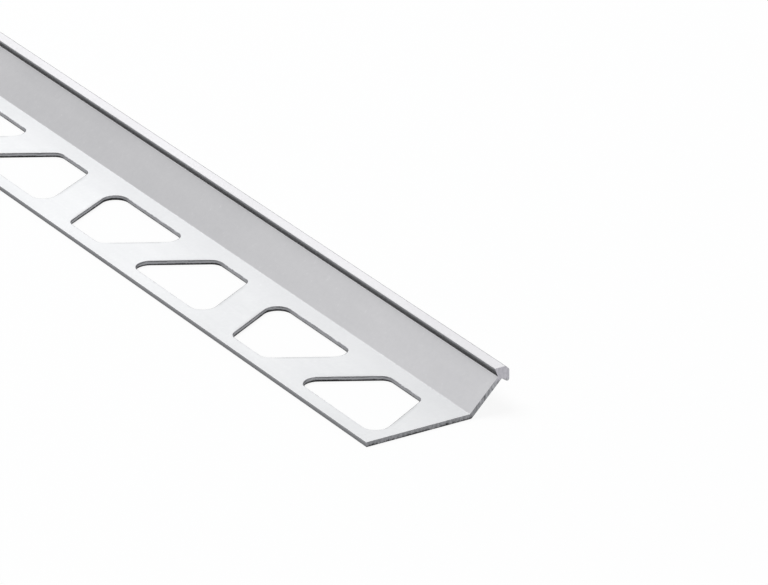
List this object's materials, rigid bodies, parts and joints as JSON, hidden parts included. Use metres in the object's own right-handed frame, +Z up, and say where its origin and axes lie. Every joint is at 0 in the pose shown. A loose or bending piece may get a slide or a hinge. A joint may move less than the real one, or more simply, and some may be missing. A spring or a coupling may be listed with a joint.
{
  "type": "tile edge trim",
  "caption": "Straight metal edge strip for tiling: a flat punched anchoring leg, a web that rises outwards at an angle, and a small bevelled head that stays in view.",
  "frame": {"origin": "middle of the bar's length and width, on the underside of the leg", "axes": "+X along the bar towards the end where the row of holes starts, +Y across it from the free edge of the leg to the head, +Z up"},
  "size_m": [1, 0.0314, 0.009],
  "materials": {
    "anodised_aluminium": "satin anodised, bare metal where it is sawn or punched"
  },
  "bodies": {
    "root": {"trim_bar": "anodised_aluminium"}
  },
  "joints": []
}
